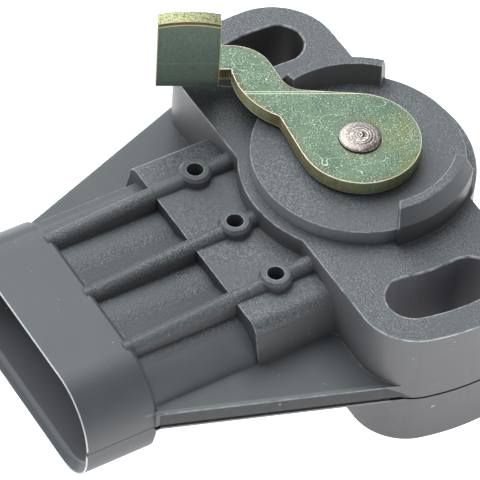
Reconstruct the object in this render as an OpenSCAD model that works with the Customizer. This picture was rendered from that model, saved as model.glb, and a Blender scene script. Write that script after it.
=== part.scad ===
// Throttle position sensor: a moulded housing with two slotted ears and a flat
// three-way connector, and a plated steel lever on a sprung shaft.
// Millimetres. +Z runs up the shaft to the lever, -Y points out of the connector,
// +X runs along the ears. The origin is on the shaft axis, in the rear plane.

/* [Ears and body] */
// Height of the ears' top faces above the rear plane
ear_h = 15.6; // [12:0.1:20]
// Radius of the ears' rounded ends about the shaft
ear_end_r = 24.9; // [22:0.1:28]
// Distance from the shaft to the straight edge on the connector side
ear_front = 10.65; // [9:0.05:12]
// Distance from the shaft to the straight edge on the other side
ear_rear = 7.75; // [6:0.05:9]
// Corner radius of the ears on the connector side
ear_corner_front = 6; // [3:0.1:7]
// Corner radius of the ears on the other side
ear_corner_rear = 7; // [2:0.1:7.4]
// Height of the parting plane above the rear plane
part_z = 6.7; // [5.5:0.1:8]
// Width and depth of the parting line's groove
part_groove = 0.2; // [0.1:0.02:0.3]
// Radius of the round ledge around the disc
ledge_r = 12.5; // [12.2:0.05:14]
// Radius of the raised disc under the lever
disc_r = 11.3; // [10.9:0.05:11.8]
// Height of the disc above the ears
disc_rise = 1.7; // [1:0.1:2.5]

/* [Slots] */
// Radius of each curved slot's centre line about the shaft
slot_pitch_r = 19.05; // [18:0.05:20]
// Width of each slot
slot_w = 5.5; // [4.5:0.1:6]
// Angle of a slot's first end centre, from the ear's own direction
slot_a0 = -14.7; // [-20:0.1:-8]
// Angle of a slot's second end centre
slot_a1 = 5.4; // [2:0.1:10]
// Chamfer round each slot's mouth
slot_chamfer = 0.12; // [0.1:0.02:0.5]

/* [Stop walls] */
// Height of the two curved stop walls above the ears
wall_rise = 4.5; // [3.9:0.1:6]
// Inner radius of the walls at the disc
wall_in_r = 9.8; // [9.2:0.05:10.2]
// Inner radius of the walls at their top
wall_top_in_r = 10.1; // [9.8:0.05:10.4]
// Outer radius of the walls at their top
wall_top_out_r = 11.1; // [10.8:0.05:11.6]
// First end angle of the wall on the -X side, where the lever rests
wall_a0 = -12; // [-16:0.5:-6]
// Second end angle of both walls at their top
wall_a1 = 45; // [30:0.5:55]
// Slant of the wall's second end, down and outwards
wall_end_slant = 3; // [0:1:35]
// First end angle of the wall on the +X side, at the top of its inner face
near_wall_a0 = -8.6; // [-12:0.2:-4]
// Turn of that end's face out of the radial direction
wall_end_turn = 23; // [0:1:30]

/* [Neck, ribs and pads] */
// Half width of the neck between the body and the connector
neck_half_w = 13.85; // [13:0.05:14.2]
// Height of the neck's floor above the parting plane
neck_rise = 4.8; // [4:0.05:5.4]
// Half width of the neck below the web
neck_low_half_w = 9.5; // [8:0.1:11]
// Depth of the neck below the parting plane
neck_low_drop = 4.6; // [3:0.1:5.5]
// Distance between neighbouring ribs
rib_pitch = 8.18; // [7.6:0.02:8.8]
// Width of a rib's rounded ridge
rib_w = 1.85; // [1.2:0.05:2.2]
// Height of a rib's ridge above the neck floor, at the connector
rib_rise = 1.45; // [1:0.05:2]
// Slope of the ribs up towards the body, in degrees
rib_slope = 4.2; // [0:0.1:6]
// Reach of each rib's shallow flank from its ridge line
rib_flank = 3.45; // [2.5:0.05:4]
// Crown of the neck floor between two ribs
bay_crown = 0.3; // [0.1:0.02:0.5]
// Distance from the shaft to the probe holes
probe_y = 14.75; // [14:0.05:16]
// Radius of a probe hole
probe_r = 0.9; // [0.6:0.05:1.1]
// Radius of the boss round a probe hole
probe_boss_r = 1.75; // [1.5:0.05:2.2]
// Drop from the ears' top faces to the probe bosses
probe_boss_drop = 1.25; // [0.8:0.05:1.8]
// Drop from the ears' top faces to the pads
pad_drop = 2.4; // [2:0.05:3.2]
// Half width of the pads at their top
pad_half_w = 13; // [12:0.05:13.4]
// Distance from the shaft to the pads' front edge
pad_front = 19.8; // [18:0.05:21]
// Radius of the pads' outer edges
pad_round = 1.4; // [0.5:0.05:2]

/* [Web] */
// Height of the web's top above the parting plane
web_rise = 1.75; // [1.2:0.05:2.2]
// Half width of the web's top at the connector
web_half_front = 14.15; // [13.9:0.05:15]
// Widening of the web for each millimetre towards the body
web_taper = 0.36; // [0.3:0.005:0.42]
// Extra half width of the web at the parting plane
web_foot = 0.45; // [0.2:0.05:1]
// Depth of the web's lower lip below the parting plane
web_lip = 0.45; // [0.3:0.05:0.8]

/* [Connector shell] */
// Distance from the shaft to the mouth of the connector
mouth_y = 40; // [38:0.1:42]
// Length of the connector shell
shell_l = 8.25; // [7:0.05:10]
// Half width of the shell
shell_half_w = 14.45; // [14.2:0.05:15.5]
// Half height of the shell
shell_half_h = 6; // [5.6:0.05:6.4]
// Depth of the shell below the parting plane
shell_low_h = 6.3; // [5.8:0.05:6.5]
// Corner radius of the shell's lower half
shell_low_r = 5; // [3.5:0.1:5.4]
// Inset of the lower half at the parting line
shell_step = 0.12; // [0.05:0.01:0.2]
// Wall thickness of the shell
shell_wall = 1.1; // [0.9:0.05:1.3]
// Length of the chamfer that leads into the mouth
mouth_chamfer = 0.9; // [0.4:0.05:1.4]
// Thickness left behind the connector's cavity
shell_back = 1; // [0.8:0.05:1.6]

/* [Terminals] */
// Thickness of the terminal strip
term_t = 0.8; // [0.6:0.05:1]
// Width of a blade in the connector
blade_w = 2.8; // [2:0.1:3]
// Distance of the blade tips behind the mouth
blade_setback = 3; // [2:0.1:4]
// Width of a terminal where it reaches the chamber
tail_w = 1.6; // [1.2:0.1:1.8]
// Distance between the terminal tails in the chamber
tail_pitch = 2.9; // [2.5:0.05:3.2]
// Distance from the shaft to the end of the tails
tail_y = 8.3; // [8.1:0.05:8.6]
// Gap between a terminal and the moulding round it
term_gap = 0.02; // [0.01:0.01:0.05]

/* [Chamber and cover] */
// Radius of the chamber in the body
chamber_r = 10.4; // [10:0.05:10.6]
// Height of the chamber's roof above the rear plane
chamber_top = 12.4; // [12:0.05:13]
// Radius of the rear cover
cover_r = 11.55; // [11.2:0.05:11.7]
// Thickness of the rear cover
cover_t = 1.6; // [1.2:0.05:2]
// Thickness of the flat gasket on the cover
gasket_t = 0.6; // [0.4:0.05:0.8]
// Height of the cover's ring that carries the element card
card_seat = 1.1; // [0.8:0.05:1.4]
// Thickness of the element card
card_t = 0.8; // [0.6:0.05:1]
// Radius of the element card
card_r = 10.3; // [9.8:0.05:10.35]
// Thickness of the printed tracks
track_t = 0.08; // [0.05:0.01:0.12]
// Middle radius of the resistor track
resistor_r = 6.9; // [6.6:0.05:6.95]
// Middle radius of the collector track
collector_r = 4.8; // [4.7:0.05:5]

/* [Shaft, bush and rotor] */
// Radius of the shaft in its bush
shaft_r = 3; // [2.6:0.05:3.2]
// Radial running clearance of the shaft
run_gap = 0.05; // [0.02:0.01:0.1]
// Outer radius of the bush
bush_r = 4.6; // [4.2:0.05:5]
// Length of the bush
bush_l = 3; // [2.5:0.05:3.2]
// Radius of the spun head that holds the lever
head_r = 2.25; // [1.9:0.01:2.4]
// Height of the spun head above the lever
head_h = 0.48; // [0.3:0.02:0.6]
// Radius of the rotor's disc
rotor_r = 7.8; // [7:0.05:7.9]
// Thickness of the rotor's disc
rotor_t = 1.6; // [1.2:0.05:2]
// Width of the return spring's strip, along the shaft
spring_w = 2.2; // [1.6:0.1:2.4]
// Thickness of the return spring's strip
spring_t = 0.25; // [0.2:0.01:0.35]
// Step of the return spring from coil to coil
spring_pitch = 0.7; // [0.6:0.02:0.8]

/* [Lever] */
// Thickness of the lever's steel
lever_t = 1.6; // [1.2:0.05:2]
// Height of the lever's top face above the ears
lever_rise = 3.81; // [3.6:0.01:4.2]
// Radius of the lever's round end
lever_r = 6.42; // [6:0.02:6.8]
// Direction of the lever's bend lines, from +X
lever_dir = 62; // [60:0.5:64]
// Fall of the arm beyond its first bend, in degrees
arm_fall = 3; // [0:0.5:4]
// Distance of the first bend from the shaft
bend_b = 6.5; // [6.3:0.05:7]
// Width of the strip that carries the tab
strip_w = 3.73; // [3:0.02:4.2]
// Distance of the strip's far edge from the shaft
strip_b = 13.86; // [13.4:0.02:14.2]
// Width of the upright tab
tab_w = 6.6; // [6:0.05:7.2]
// Distance of the tab's near edge along the strip
tab_a = 14.3; // [14:0.05:14.8]
// Height of the tab above the lever's top face
tab_h = 8.75; // [8:0.05:11]
// Setback of the strip's end from the tab's far edge
strip_short = 0.45; // [0.2:0.05:0.8]
// Bow of the tab's top edge
tab_bow = 0.4; // [0.2:0.02:0.6]
// Inner radius of the tab's bend
bend_r = 0.7; // [0.4:0.05:1]

/* [Hidden] */
$fn = 96;
eps = 0.01;
disc_z = ear_h + disc_rise;
wall_z = ear_h + wall_rise;
lever_z1 = ear_h + lever_rise;
lever_z0 = lever_z1 - lever_t;
term_z0 = part_z - term_t / 2;
term_z1 = part_z + term_t / 2;
cavity_h = shell_half_h - shell_wall;
resistor_w = 1.4;
collector_w = 1.2;
cavity_end_y = -mouth_y + shell_l - shell_back;
shell_y1 = -mouth_y + shell_l;
floor_z = part_z + neck_rise;
gasket_z1 = cover_t + gasket_t;
card_z0 = cover_t + card_seat;
card_z1 = card_z0 + card_t;
pad_z1 = card_z1 + track_t;
seal_r = bush_r + 0.3;
bush_z1 = chamber_top + bush_l;
flange_z1 = chamber_top - 0.5;
flange_z0 = flange_z1 - 0.7;
hub_r = 4;
rotor_z0 = pad_z1 + 2.22;
key_r = 2.6;
key_half = 1.95;
tip_r = 1.5;
spring_z0 = rotor_z0 + rotor_t + 0.5;

// shared outlines

function polar(r, a) = [r * cos(a), r * sin(a)];

// where a corner's centre lies along X, for a corner of radius r on the given straight edge
function corner_x(edge, r) = sqrt(pow(ear_end_r - r, 2) - pow(edge - r, 2));

// the ears' outline, d smaller on every side; the straight edges and the end arcs cut a hair into
// the corner circles, so that every join is a clear crossing
module ear_outline(d) {
    cut = 0.006;
    xf = corner_x(ear_front, ear_corner_front);
    xr = corner_x(ear_rear, ear_corner_rear);
    yf = -ear_front + ear_corner_front;
    yr = ear_rear - ear_corner_rear;
    f = ear_front - d;
    g = ear_rear - d;
    polygon([[-xf, -f + cut], [0, -f], [xf, -f + cut], [xf - 0.3, yf + 0.2], [xr - 0.3, yr - 0.2],
        [xr, g - cut], [0, g], [-xr, g - cut], [-xr + 0.3, yr - 0.2], [-xf + 0.3, yf + 0.2]]);
    for (s = [0, 1])
        mirror([s, 0]) {
            translate([xf, yf]) circle(ear_corner_front - d);
            translate([xr, yr]) circle(ear_corner_rear - d);
            intersection() {
                circle(ear_end_r - d - 1.5 * cut);
                polygon([[0, 0], 2.4 * [xf, yf], 2.2 * [xr, yr]]);
            }
        }
    circle(ledge_r - d);
}

// a flat-sided outline with round ends, half width hw and half height hh
module stadium(hw, hh) {
    translate([-(hw - hh), -hh]) square([2 * (hw - hh), 2 * hh]);
    translate([hw - hh, 0]) circle(hh);
    translate([-(hw - hh), 0]) circle(hh);
}

// the same outline growing from half height h0 to h1 over the length l, round the same centres
module stadium_taper(cx, h0, h1, l) {
    for (s = [-1, 1])
        translate([s * cx, 0, 0]) cylinder(h = l, r1 = h0, r2 = h1);
    rotate([90, 0, 90])
        translate([0, 0, -cx])
            linear_extrude(2 * cx) polygon([[-h0, 0], [h0, 0], [h1, l], [-h1, l]]);
}

// extrudes an outline drawn in X and Z from y0 to y1
module along_y(y0, y1) {
    translate([0, y1, 0]) rotate([90, 0, 0]) linear_extrude(y1 - y0) children();
}

// housing

module slot_tool() {
    a_mid = (slot_a0 + slot_a1) / 2;
    z0 = -1;
    z1 = ear_h + 1;
    rotate([0, 0, slot_a0])
        rotate_extrude(angle = slot_a1 - slot_a0, $fn = 192)
            polygon([[slot_pitch_r - slot_w / 2, z0], [slot_pitch_r + slot_w / 2, z0],
                [slot_pitch_r + slot_w / 2, ear_h - slot_chamfer],
                [slot_pitch_r + slot_w / 2 + slot_chamfer + 1, z1],
                [slot_pitch_r - slot_w / 2 - slot_chamfer - 1, z1],
                [slot_pitch_r - slot_w / 2, ear_h - slot_chamfer]]);
    for (a = [slot_a0, slot_a1])
        translate(polar(slot_pitch_r, a)) {
            translate([0, 0, z0]) cylinder(h = ear_h + 2, r = slot_w / 2);
            translate([0, 0, ear_h - slot_chamfer])
                cylinder(h = slot_chamfer + 1, r1 = slot_w / 2, r2 = slot_w / 2 + slot_chamfer + 1);
        }
}

// one wall: its first end stands at a0 and turns out of the radial direction by turn, its second slants
module stop_wall(a0, turn) {
    low_r = wall_in_r - (wall_top_in_r - wall_in_r) / (wall_z - disc_z);
    difference() {
        rotate([0, 0, wall_a0 - 6])
            rotate_extrude(angle = wall_a1 - wall_a0 + 20, $fn = 192)
                polygon([[low_r, ear_h - 1], [low_r, disc_z - 1], [wall_top_in_r, wall_z],
                    [wall_top_out_r, wall_z], [ledge_r - 0.4, disc_z + 1.05], [ledge_r - 0.38, ear_h - 1]]);
        rotate([0, 0, wall_a1]) translate([0, 0, wall_z]) rotate([wall_end_slant, 0, 0])
            translate([4, 0, -20]) cube([12, 8, 40]);
        translate(polar(wall_top_in_r, a0)) rotate([0, 0, a0 - turn])
            translate([-5, -8, 0]) cube([15, 8, 40]);
    }
}

module rib() {
    rib_end = -ear_front + 0.5;
    r = rib_w / 2;
    run = rib_end - shell_y1;
    translate([0, shell_y1, floor_z])
        rotate([rib_slope, 0, 0]) {
            along_y(-0.6, run)
                union() {
                    translate([0, rib_rise - r]) circle(r);
                    translate([-r, -2]) square([2 * r, rib_rise - r + 2]);
                }
        }
    along_y(shell_y1 - 0.3, -probe_y)
        polygon([[-rib_flank, floor_z + 0.03], [-rib_flank, floor_z - 1], [0, floor_z - 1],
            [0, floor_z + rib_rise - 0.25], [-0.55, floor_z + rib_rise - 0.33]]);
    translate([0, -probe_y, ear_h - pad_drop - 1])
        cylinder(h = pad_drop - probe_boss_drop + 0.65, r = probe_boss_r);
    translate([0, -probe_y, ear_h - probe_boss_drop - 0.35])
        cylinder(h = 0.35, r1 = probe_boss_r, r2 = probe_boss_r - 0.3);
}

// a shallow crowned strip of the neck floor between two ribs
module bay() {
    x0 = rib_w / 2 - 0.1;
    x1 = rib_pitch - rib_flank + 0.1;
    half = (x1 - x0) / 2;
    r = (half * half + bay_crown * bay_crown) / (2 * bay_crown);
    along_y(shell_y1 - 0.3, -pad_front + 0.5)
        intersection() {
            translate([(x0 + x1) / 2, floor_z + bay_crown - r]) circle(r);
            translate([x0, floor_z - 0.5]) square([x1 - x0, 2]);
        }
}

// the web's outline, half width half at the connector, up to where the ears take over
module web_outline(half) {
    y1 = -ear_front + 4.2;
    reach = y1 - shell_y1;
    polygon([[-half, shell_y1 - 0.5], [half, shell_y1 - 0.5], [half, shell_y1],
        [half + web_taper * reach, y1], [-half - web_taper * reach, y1], [-half, shell_y1]]);
}

module web() {
    half = web_half_front + web_foot;
    v = web_rise - 0.35;
    g = part_groove;
    difference() {
        translate([0, 0, part_z]) linear_extrude(web_rise) web_outline(half);
        for (s = [-1, 1])
            mirror([s, 0, 0]) translate([half, shell_y1, part_z + 0.35])
                rotate([0, 0, -atan(web_taper)]) rotate([90, 0, 0])
                    translate([0, 0, -30]) linear_extrude(34)
                        polygon([[0, 0], [3, 0], [3, 3], [-0.95, 3], [-0.95, v + 0.02], [-0.62, v - 0.06],
                            [-0.43, v - 0.2], [-0.33, v - 0.42]]);
    }
    translate([0, 0, part_z - g - 0.1]) linear_extrude(g + 0.2) web_outline(half - 0.22);
    translate([0, 0, part_z - web_lip]) linear_extrude(web_lip - g) web_outline(half + 0.12);
}

module neck() {
    y1 = -ear_front + 2;
    along_y(shell_y1 - 0.5, y1)
        intersection() {
            translate([0, part_z]) stadium(neck_half_w, neck_rise);
            translate([-20, part_z]) square([40, 10]);
        }
    along_y(shell_y1 - 0.5, y1) {
        w = neck_low_half_w;
        z0 = part_z - neck_low_drop;
        translate([-w, z0 + 2]) square([2 * w, neck_low_drop - 2 + eps]);
        translate([-w + 2, z0]) square([2 * w - 4, 3]);
        for (s = [-1, 1])
            translate([s * (w - 2), z0 + 2]) circle(2);
    }
}

module pads() {
    z1 = ear_h - pad_drop;
    r = pad_round;
    along_y(-pad_front, -ear_front + 2)
        union() {
            polygon([[-pad_half_w - 1, part_z + 1], [pad_half_w + 1, part_z + 1], [pad_half_w - 0.1, z1 - r + 0.33],
                [pad_half_w - r, z1], [-pad_half_w + r, z1], [-pad_half_w + 0.1, z1 - r + 0.33]]);
            for (s = [-1, 1])
                translate([s * (pad_half_w - r), z1 - r]) circle(r);
        }
}

// the lower half of the shell, grown by d0 at its first end and d1 at its second, over the length l;
// drawn with the parting plane at z = 0 and hw, hh and r as its half width, depth and corner radius
module shell_lower(hw, hh, r, d0, d1, l) {
    for (s = [-1, 1])
        translate([s * (hw - r), 0, r - hh]) rotate([-90, 0, 0]) cylinder(h = l, r1 = r + d0, r2 = r + d1);
    translate([-(hw - r), 0, 0]) rotate([90, 0, 90]) linear_extrude(2 * (hw - r))
        polygon([[0, -hh - d0], [l, -hh - d1], [l, 0], [0, 0]]);
    translate([0, 0, r - hh]) linear_extrude(hh - r)
        polygon([[-hw - d0, 0], [hw + d0, 0], [hw + d1, l], [-hw - d1, l]]);
}

module shell_solid() {
    cx = shell_half_w - shell_half_h;
    y1 = shell_y1 - 0.4;
    along_y(-mouth_y, y1)
        intersection() {
            translate([0, part_z]) stadium(shell_half_w, shell_half_h);
            translate([-20, part_z]) square([40, 10]);
        }
    intersection() {
        translate([0, y1, part_z]) rotate([-90, 0, 0])
            stadium_taper(cx, shell_half_h, shell_half_h - 0.35, 0.4);
        translate([-20, y1 - 1, part_z]) cube([40, 4, 10]);
    }
    difference() {
        translate([0, 0, part_z]) {
            translate([0, -mouth_y, 0])
                shell_lower(shell_half_w - shell_step, shell_low_h, shell_low_r, 0, 0, y1 + mouth_y);
            translate([0, y1, 0])
                shell_lower(shell_half_w - shell_step, shell_low_h, shell_low_r, 0, -0.35, 0.4);
        }
        translate([-20, -mouth_y - 1, part_z]) cube([40, shell_l + 2, 10]);
    }
}

module shell_cavity() {
    cx = shell_half_w - shell_half_h;
    lead = shell_wall - 0.2;
    w = shell_half_w - shell_wall;
    w_low = w - shell_step;
    low_h = shell_low_h - shell_wall;
    low_r = shell_low_r - shell_wall;
    intersection() {
        union() {
            along_y(-mouth_y - 1, cavity_end_y)
                translate([0, part_z]) stadium(w, cavity_h);
            translate([0, -mouth_y - eps, part_z]) rotate([-90, 0, 0])
                stadium_taper(cx, cavity_h + lead, cavity_h, mouth_chamfer);
        }
        translate([-20, -mouth_y - 2, part_z - 0.02]) cube([40, shell_l + 4, 10]);
    }
    difference() {
        translate([0, 0, part_z]) {
            translate([0, -mouth_y - 1, 0]) shell_lower(w_low, low_h, low_r, 0, 0, cavity_end_y + mouth_y + 1);
            translate([0, -mouth_y - eps, 0]) shell_lower(w_low, low_h, low_r, lead, 0, mouth_chamfer);
        }
        translate([-20, -mouth_y - 2, part_z]) cube([40, shell_l + 4, 10]);
    }
}

module parting_groove() {
    g = part_groove;
    difference() {
        translate([0, 0, part_z - g]) linear_extrude(g) ear_outline(-1);
        translate([0, 0, part_z - g - 1]) linear_extrude(g + 2) ear_outline(g * 1.5);
        translate([-30, -60, 0]) cube([60, 60 - ear_front - 0.5, 12]);
        translate([0, 0, part_z - g - 1]) linear_extrude(g + 2)
            web_outline(web_half_front + web_foot - 0.25);
    }
    difference() {
        along_y(-mouth_y - 1, shell_y1 + 0.2)
            translate([-20, part_z - g]) square([40, g]);
        along_y(-mouth_y - 2, shell_y1 + 1)
            translate([0, part_z]) stadium(shell_half_w - 0.35, shell_half_h);
    }
}

module body_solid() {
    linear_extrude(ear_h) ear_outline(0);
    cylinder(h = disc_z, r = disc_r);
    stop_wall(near_wall_a0, wall_end_turn);
    mirror([1, 0, 0]) stop_wall(wall_a0, 0);
}

module chamber_tool() {
    translate([0, 0, -1]) cylinder(h = gasket_z1 + 1, r = cover_r + 0.05);
    translate([0, 0, -1]) cylinder(h = chamber_top + 1, r = chamber_r);
    translate([0, 0, -1]) cylinder(h = bush_z1 + 1, r = bush_r);
    translate([0, 0, bush_z1]) cylinder(h = 5, r = seal_r);
}

module card_stops() {
    for (a = [30, 150, 210, 330])
        rotate([0, 0, a])
            translate([chamber_r - 0.8, -1, card_z1]) cube([1.2, 2, chamber_top - card_z1 + 0.5]);
}

module housing() {
    color([0.33, 0.35, 0.37])
    union() {
        difference() {
            union() {
                body_solid();
                web();
                neck();
                pads();
                shell_solid();
                for (i = [-1, 0, 1])
                    translate([i * rib_pitch, 0, 0]) rib();
                for (i = [-1, 0])
                    translate([i * rib_pitch, 0, 0]) bay();
            }
            chamber_tool();
            shell_cavity();
            slot_tool();
            mirror([1, 0, 0]) slot_tool();
            for (i = [-1, 0, 1]) {
                translate([i * rib_pitch, -probe_y, part_z]) cylinder(h = 20, r = probe_r);
                terminal_body(i, term_gap);
            }
            parting_groove();
        }
        card_stops();
    }
}

// terminals and clips

// the flat outline of one terminal, g wider on every side; i is -1, 0 or 1
module terminal_outline(i, g) {
    x = i * rib_pitch;
    t = i * tail_pitch;
    tip = -mouth_y + blade_setback;
    turn = -probe_y + 1.5;
    b = blade_w / 2 + g;
    h = tail_w / 2 + g;
    translate([x, 0])
        polygon([[-b * 0.45, tip], [b * 0.45, tip], [b, tip + 1.2], [b, turn + tail_w + g], [-b, turn + tail_w + g],
            [-b, tip + 1.2]]);
    if (i != 0)
        translate([min(x, t) - h, turn - g]) square([abs(x - t) + 2 * h, tail_w + 2 * g]);
    translate([t - h, turn - g]) square([2 * h, -tail_y + g - turn + g]);
}

module terminal_body(i, g) {
    translate([0, 0, term_z0 - g]) linear_extrude(term_t + 2 * g) terminal_outline(i, g);
}

module terminal_supply() {
    color([0.78, 0.74, 0.6]) terminal_body(-1, 0);
}

module terminal_signal() {
    color([0.78, 0.74, 0.6]) terminal_body(0, 0);
}

module terminal_ground() {
    color([0.78, 0.74, 0.6]) terminal_body(1, 0);
}

// a C-shaped spring clip between a terminal's tail and the pad below it
module clip(i) {
    w = tail_w - 0.2;
    y0 = -tail_y - 1.1;
    translate([i * tail_pitch - w / 2, 0, 0]) rotate([90, 0, 90]) linear_extrude(w)
        polygon([[y0 + 1.1, term_z0], [y0, term_z0], [y0, pad_z1], [y0 + 1.0, pad_z1], [y0 + 1.0, pad_z1 + 0.25],
            [y0 + 0.25, pad_z1 + 0.25], [y0 + 0.25, term_z0 - 0.25], [y0 + 1.1, term_z0 - 0.25]]);
}

module clip_supply() {
    color([0.85, 0.68, 0.35]) clip(-1);
}

module clip_signal() {
    color([0.85, 0.68, 0.35]) clip(0);
}

module clip_ground() {
    color([0.85, 0.68, 0.35]) clip(1);
}

// cover, gasket and element

module rear_cover() {
    color([0.24, 0.25, 0.26])
    difference() {
        union() {
            cylinder(h = cover_t, r = cover_r);
            difference() {
                cylinder(h = card_z0, r = 9.7);
                translate([0, 0, -1]) cylinder(h = card_z0 + 2, r = 8.6);
            }
            cylinder(h = card_z1 + 0.4, r = 3.2);
        }
        translate([0, 0, cover_t - 0.4]) cylinder(h = 10, r = tip_r + run_gap);
        difference() {
            translate([0, 0, -1]) cylinder(h = 1.2, r = cover_r + 1);
            translate([0, 0, -2]) cylinder(h = 3, r = cover_r - 0.25);
        }
    }
}

module cover_seal() {
    color([0.12, 0.12, 0.13])
    translate([0, 0, cover_t]) difference() {
        cylinder(h = gasket_t, r = cover_r - 0.1);
        translate([0, 0, -1]) cylinder(h = gasket_t + 2, r = chamber_r + 0.05);
    }
}

module element_card() {
    color([0.42, 0.3, 0.2])
    translate([0, 0, card_z0]) difference() {
        cylinder(h = card_t, r = card_r);
        translate([0, 0, -1]) cylinder(h = card_t + 2, r = 3.3);
    }
}

module track_arc(r0, r1, a0, a1) {
    rotate([0, 0, a0]) rotate_extrude(angle = a1 - a0, $fn = 96)
        translate([r0, 0]) square([r1 - r0, track_t]);
}

module resistor_track() {
    color([0.1, 0.1, 0.11])
    translate([0, 0, card_z1]) {
        track_arc(resistor_r - resistor_w / 2, resistor_r + resistor_w / 2, -73, 253);
        for (s = [-1, 1])
            translate([s * tail_pitch - 0.7, -tail_y - 1.1, 0]) cube([1.4, 2.8, track_t]);
    }
}

module collector_track() {
    color([0.55, 0.53, 0.5])
    translate([0, 0, card_z1]) {
        track_arc(collector_r - collector_w / 2, collector_r + collector_w / 2, 0, 180);
        track_arc(collector_r - collector_w / 2, collector_r + collector_w / 2, 180, 360);
        translate([-0.7, -tail_y - 1.1, 0]) cube([1.4, 4.4, track_t]);
    }
}

// shaft group in the housing

module shaft_bush() {
    color([0.72, 0.58, 0.35])
    translate([0, 0, chamber_top]) difference() {
        cylinder(h = bush_l, r = bush_r);
        translate([0, 0, -1]) cylinder(h = bush_l + 2, r = shaft_r + run_gap);
    }
}

module shaft_seal() {
    color([0.1, 0.1, 0.1])
    rotate_extrude()
        polygon([[shaft_r + 0.9, bush_z1], [seal_r, bush_z1], [seal_r, disc_z - 0.3], [shaft_r + 0.5, disc_z - 0.3],
            [shaft_r + run_gap, disc_z - 0.9], [shaft_r + run_gap, disc_z - 1.1], [shaft_r + 0.9, disc_z - 0.9]]);
}

module thrust_washer() {
    color([0.85, 0.83, 0.76])
    translate([0, 0, disc_z]) difference() {
        cylinder(h = lever_z0 - disc_z - run_gap, r = 5.6);
        translate([0, 0, -1]) cylinder(h = 3, r = shaft_r + run_gap + 0.05);
    }
}

module spring_washer() {
    color([0.6, 0.6, 0.6])
    rotate_extrude()
        polygon([[shaft_r + 0.15, flange_z1 + run_gap], [4.3, chamber_top - 0.2], [4.3, chamber_top],
            [shaft_r + 0.15, chamber_top - 0.2]]);
}

module return_spring() {
    r0 = hub_r + 0.4;
    p = spring_pitch;
    color([0.62, 0.63, 0.64])
    translate([0, 0, spring_z0]) linear_extrude(spring_w) {
        for (k = [0 : 9]) {
            r = r0 + k * p / 2;
            s = k % 2 == 0 ? -1 : 1;
            translate([s * p / 4, 0]) intersection() {
                difference() {
                    circle(r + spring_t);
                    circle(r);
                }
                translate([-20, s < 0 ? 0 : -20]) square([40, 20]);
            }
        }
        translate([r0 + 9 * p / 2 + p / 4, 0])
            polygon([[0, 0], [spring_t, 0], [spring_t, 0.6], [1.1, 0.6], [1.1, 0.6 + spring_t], [0, 0.6 + spring_t]]);
    }
}

// moving group

module key_outline(g) {
    intersection() {
        circle(key_r + g);
        square([2 * (key_r + g + 1), 2 * (key_half + g)], center = true);
    }
}

module neck_outline(g) {
    intersection() {
        circle(1.65 + g);
        square([5, 2.5 + 2 * g], center = true);
    }
}

module shaft() {
    clip_z = rotor_z0 - 0.55;
    color([0.62, 0.58, 0.54])
    union() {
        translate([0, 0, flange_z1 - eps]) cylinder(h = lever_z0 - flange_z1 + eps, r = shaft_r);
        translate([0, 0, flange_z0]) cylinder(h = flange_z1 - flange_z0, r = 4.4);
        translate([0, 0, lever_z0 - eps]) linear_extrude(lever_t + 2 * eps) neck_outline(0);
        rotate_extrude() difference() {
            polygon([[0, lever_z1], [head_r, lever_z1], [head_r, lever_z1 + 0.16], [head_r - 0.25, lever_z1 + 0.3],
                [1.0, lever_z1 + head_h - 0.05], [0.45, lever_z1 + head_h], [0, lever_z1 + head_h]]);
            polygon([[1.32, lever_z1 + 1], [1.42, lever_z1 + head_h - 0.2], [1.52, lever_z1 + 1]]);
            polygon([[0.62, lever_z1 + 1], [0.72, lever_z1 + head_h - 0.12], [0.82, lever_z1 + 1]]);
        }
        translate([0, 0, rotor_z0]) linear_extrude(flange_z0 - rotor_z0 + eps) key_outline(0);
        translate([0, 0, clip_z - eps]) cylinder(h = rotor_z0 - clip_z + 2 * eps, r = 1.9);
        translate([0, 0, clip_z - 0.3]) cylinder(h = 0.3, r = 2.4);
        translate([0, 0, cover_t - 0.3]) cylinder(h = clip_z - cover_t + 0.3, r = tip_r);
    }
}

module rotor_clip() {
    clip_z = rotor_z0 - 0.55;
    color([0.5, 0.5, 0.52])
    translate([0, 0, clip_z]) difference() {
        cylinder(h = 0.5, r = 3.4);
        translate([0, 0, -1]) cylinder(h = 3, r = 1.92);
        translate([0, -1.3, -1]) cube([5, 2.6, 3]);
    }
}

module rotor() {
    color([0.85, 0.84, 0.8])
    difference() {
        union() {
            translate([0, 0, rotor_z0]) cylinder(h = rotor_t, r = rotor_r);
            translate([0, 0, rotor_z0]) cylinder(h = flange_z0 - rotor_z0, r = hub_r);
        }
        translate([0, 0, rotor_z0 - 1]) linear_extrude(20) key_outline(0.03);
        translate([0, 0, rotor_z0 + 0.7]) difference() {
            cylinder(h = 5, r = rotor_r - 0.8);
            translate([0, 0, -1]) cylinder(h = 7, r = hub_r + 0.2);
            for (a = [0 : 60 : 300])
                rotate([0, 0, a]) translate([0, -0.4, -1]) cube([10, 0.8, rotor_t + 0.3]);
        }
    }
}

module wiper_finger(r) {
    z1 = rotor_z0 - 0.25;
    z0 = pad_z1 + run_gap;
    translate([r, 0, 0]) rotate([90, 0, 90]) translate([0, 0, -0.4]) linear_extrude(0.8)
        polygon([[-2.6, z1 + 0.05], [-2.6, z1 - 0.2], [1.6, z0], [2.0, z0], [2.4, z0 + 0.35], [2.2, z0 + 0.5],
            [1.9, z0 + 0.25], [1.7, z0 + 0.25], [-2.1, z1 + 0.05]]);
}

module wiper_contact() {
    z = rotor_z0 - 0.25;
    color([0.85, 0.72, 0.4])
    union() {
        translate([0, 0, z]) difference() {
            cylinder(h = 0.25, r = 7.4);
            translate([0, 0, -1]) cylinder(h = 3, r = 4.1);
            translate([-10, -10, -1]) cube([20, 10, 3]);
        }
        rotate([0, 0, 90]) {
            wiper_finger(collector_r);
            wiper_finger(resistor_r - 0.05);
        }
    }
}

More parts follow.
